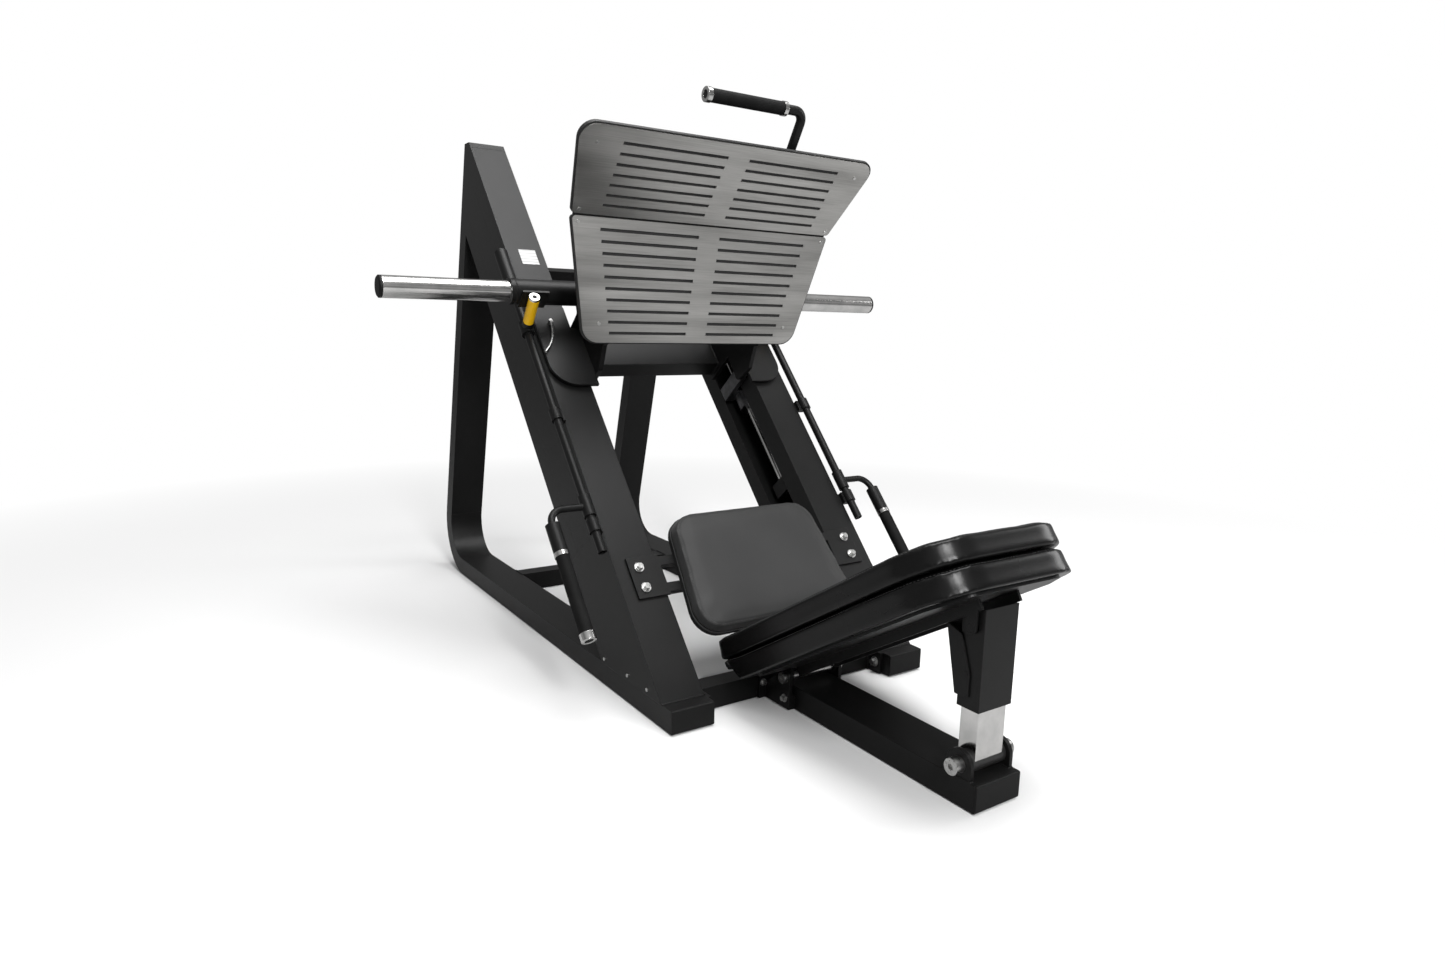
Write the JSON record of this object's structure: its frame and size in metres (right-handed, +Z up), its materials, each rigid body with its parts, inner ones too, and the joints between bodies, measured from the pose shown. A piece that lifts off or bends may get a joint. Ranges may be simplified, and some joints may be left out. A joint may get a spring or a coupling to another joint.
{
  "type": "plate-loaded leg press machine",
  "caption": "Inclined plate-loaded leg press: sled with slotted steel foot plate and weight sleeves on rails, swing-out safety stops, seat and reclining back rest.",
  "frame": {"origin": "centre of the footprint, on the floor", "axes": "+Z up, +Y from the back rest towards the tall rear posts, +X to the right of a viewer who stands at the back rest's end and looks along +Y"},
  "size_m": [1.443, 2.0116, 1.3135],
  "materials": {
    "frame_black": "semi-gloss powder coat",
    "fasteners": "zinc-plated steel",
    "chrome": "polished",
    "foot_sheet": "brushed stainless sheet",
    "rubber_black": "satin moulded",
    "grip_rubber": "matte foam rubber",
    "yellow_sleeve": "satin",
    "seat_vinyl": "matte charcoal vinyl over foam",
    "back_vinyl": "satin black vinyl over foam",
    "board_black": "matte black board",
    "bushing": "satin",
    "bearing_steel": "anodised housing",
    "label_white": "blank printed-label stock"
  },
  "bodies": {
    "frame": {"base_beams": "frame_black", "rear_bends": "frame_black", "rear_posts": "frame_black", "rail_tubes": "frame_black", "rail_webs": "frame_black", "side_covers": "frame_black", "frame_bolts": "fasteners", "end_caps": "rubber_black", "feet": "rubber_black", "cross_beams": "frame_black", "flange_plates": "frame_black", "center_beam": "frame_black", "pivot_ears": "frame_black", "pivot_bolts": "fasteners", "guide_shafts": "chrome", "shaft_blocks": "frame_black", "seat_bracket": "frame_black", "seat_bolts": "fasteners", "seat_board": "board_black", "seat_pad": "seat_vinyl", "rod_bearings": "frame_black", "rating_plate": "label_white"},
    "carriage": {"carriage_sides": "frame_black", "carriage_wings": "frame_black", "carriage_beam": "frame_black", "linear_bearings": "bearing_steel", "grease_line": "fasteners", "axle_tube": "frame_black", "rest_plates": "frame_black", "sleeve_collars": "frame_black", "weight_sleeves": "chrome", "sleeve_plugs": "rubber_black", "foot_struts": "frame_black", "foot_boards": "board_black", "foot_sheet_lower": "foot_sheet", "foot_sheet_upper": "foot_sheet", "foot_screws": "fasteners", "handle_tube": "frame_black", "handle_grip": "grip_rubber", "handle_rings": "chrome"},
    "left_safety": {"left_rod": "frame_black", "left_arm": "frame_black", "left_grip": "grip_rubber", "left_rings": "chrome", "left_stop": "frame_black", "left_bumper": "yellow_sleeve"},
    "right_safety": {"right_rod": "frame_black", "right_arm": "frame_black", "right_grip": "grip_rubber", "right_rings": "chrome", "right_stop": "frame_black", "right_bumper": "yellow_sleeve"},
    "back_rest": {"back_pad_top": "back_vinyl", "back_pad_base": "back_vinyl", "pad_frame": "frame_black", "pad_pin": "frame_black"},
    "post_tube": {"post_inner": "chrome", "post_bushing": "bushing"},
    "post_sleeve": {"post_outer": "frame_black"},
    "lever": {"post_lever": "frame_black"}
  },
  "joints": [
    {"name": "carriage_slide", "type": "slide", "parent": "frame", "child": "carriage", "axis": [0, 0.6665, 0.7455], "range_m": [0, 0.34]},
    {"name": "left_safety_turn", "type": "hinge", "parent": "frame", "child": "left_safety", "pos_m": [-0.368, -0.03116, 0.50695], "axis": [0, -0.6665, -0.7455], "range_deg": [0, 80]},
    {"name": "right_safety_turn", "type": "hinge", "parent": "frame", "child": "right_safety", "pos_m": [0.368, -0.03116, 0.50695], "axis": [0, 0.6665, 0.7455], "range_deg": [0, 80]},
    {"name": "back_recline", "type": "hinge", "parent": "frame", "child": "back_rest", "pos_m": [0, -0.46823, 0.07], "axis": [-1, 0, 0], "range_deg": [-4, 6]},
    {"name": "post_tilt", "type": "hinge", "parent": "frame", "child": "post_tube", "pos_m": [0, -0.93523, 0.076], "axis": [-1, 0, 0], "range_deg": [-5, 7]},
    {"name": "post_extend", "type": "slide", "parent": "post_tube", "child": "post_sleeve", "axis": [0, 0, 1], "range_m": [-0.035, 0.052]},
    {"name": "lever_squeeze", "type": "hinge", "parent": "post_sleeve", "child": "lever", "pos_m": [0, -0.92923, 0.237], "axis": [1, 0, 0], "range_deg": [0, 12], "stiffness_Nm_per_rad": 2, "springref_deg": -17.19}
  ],
  "couplings": [
    {"joint": "post_tilt", "follows": "back_recline", "ratio": 1.02},
    {"joint": "post_extend", "follows": "back_recline", "m_per_rad": 0.467}
  ]
}
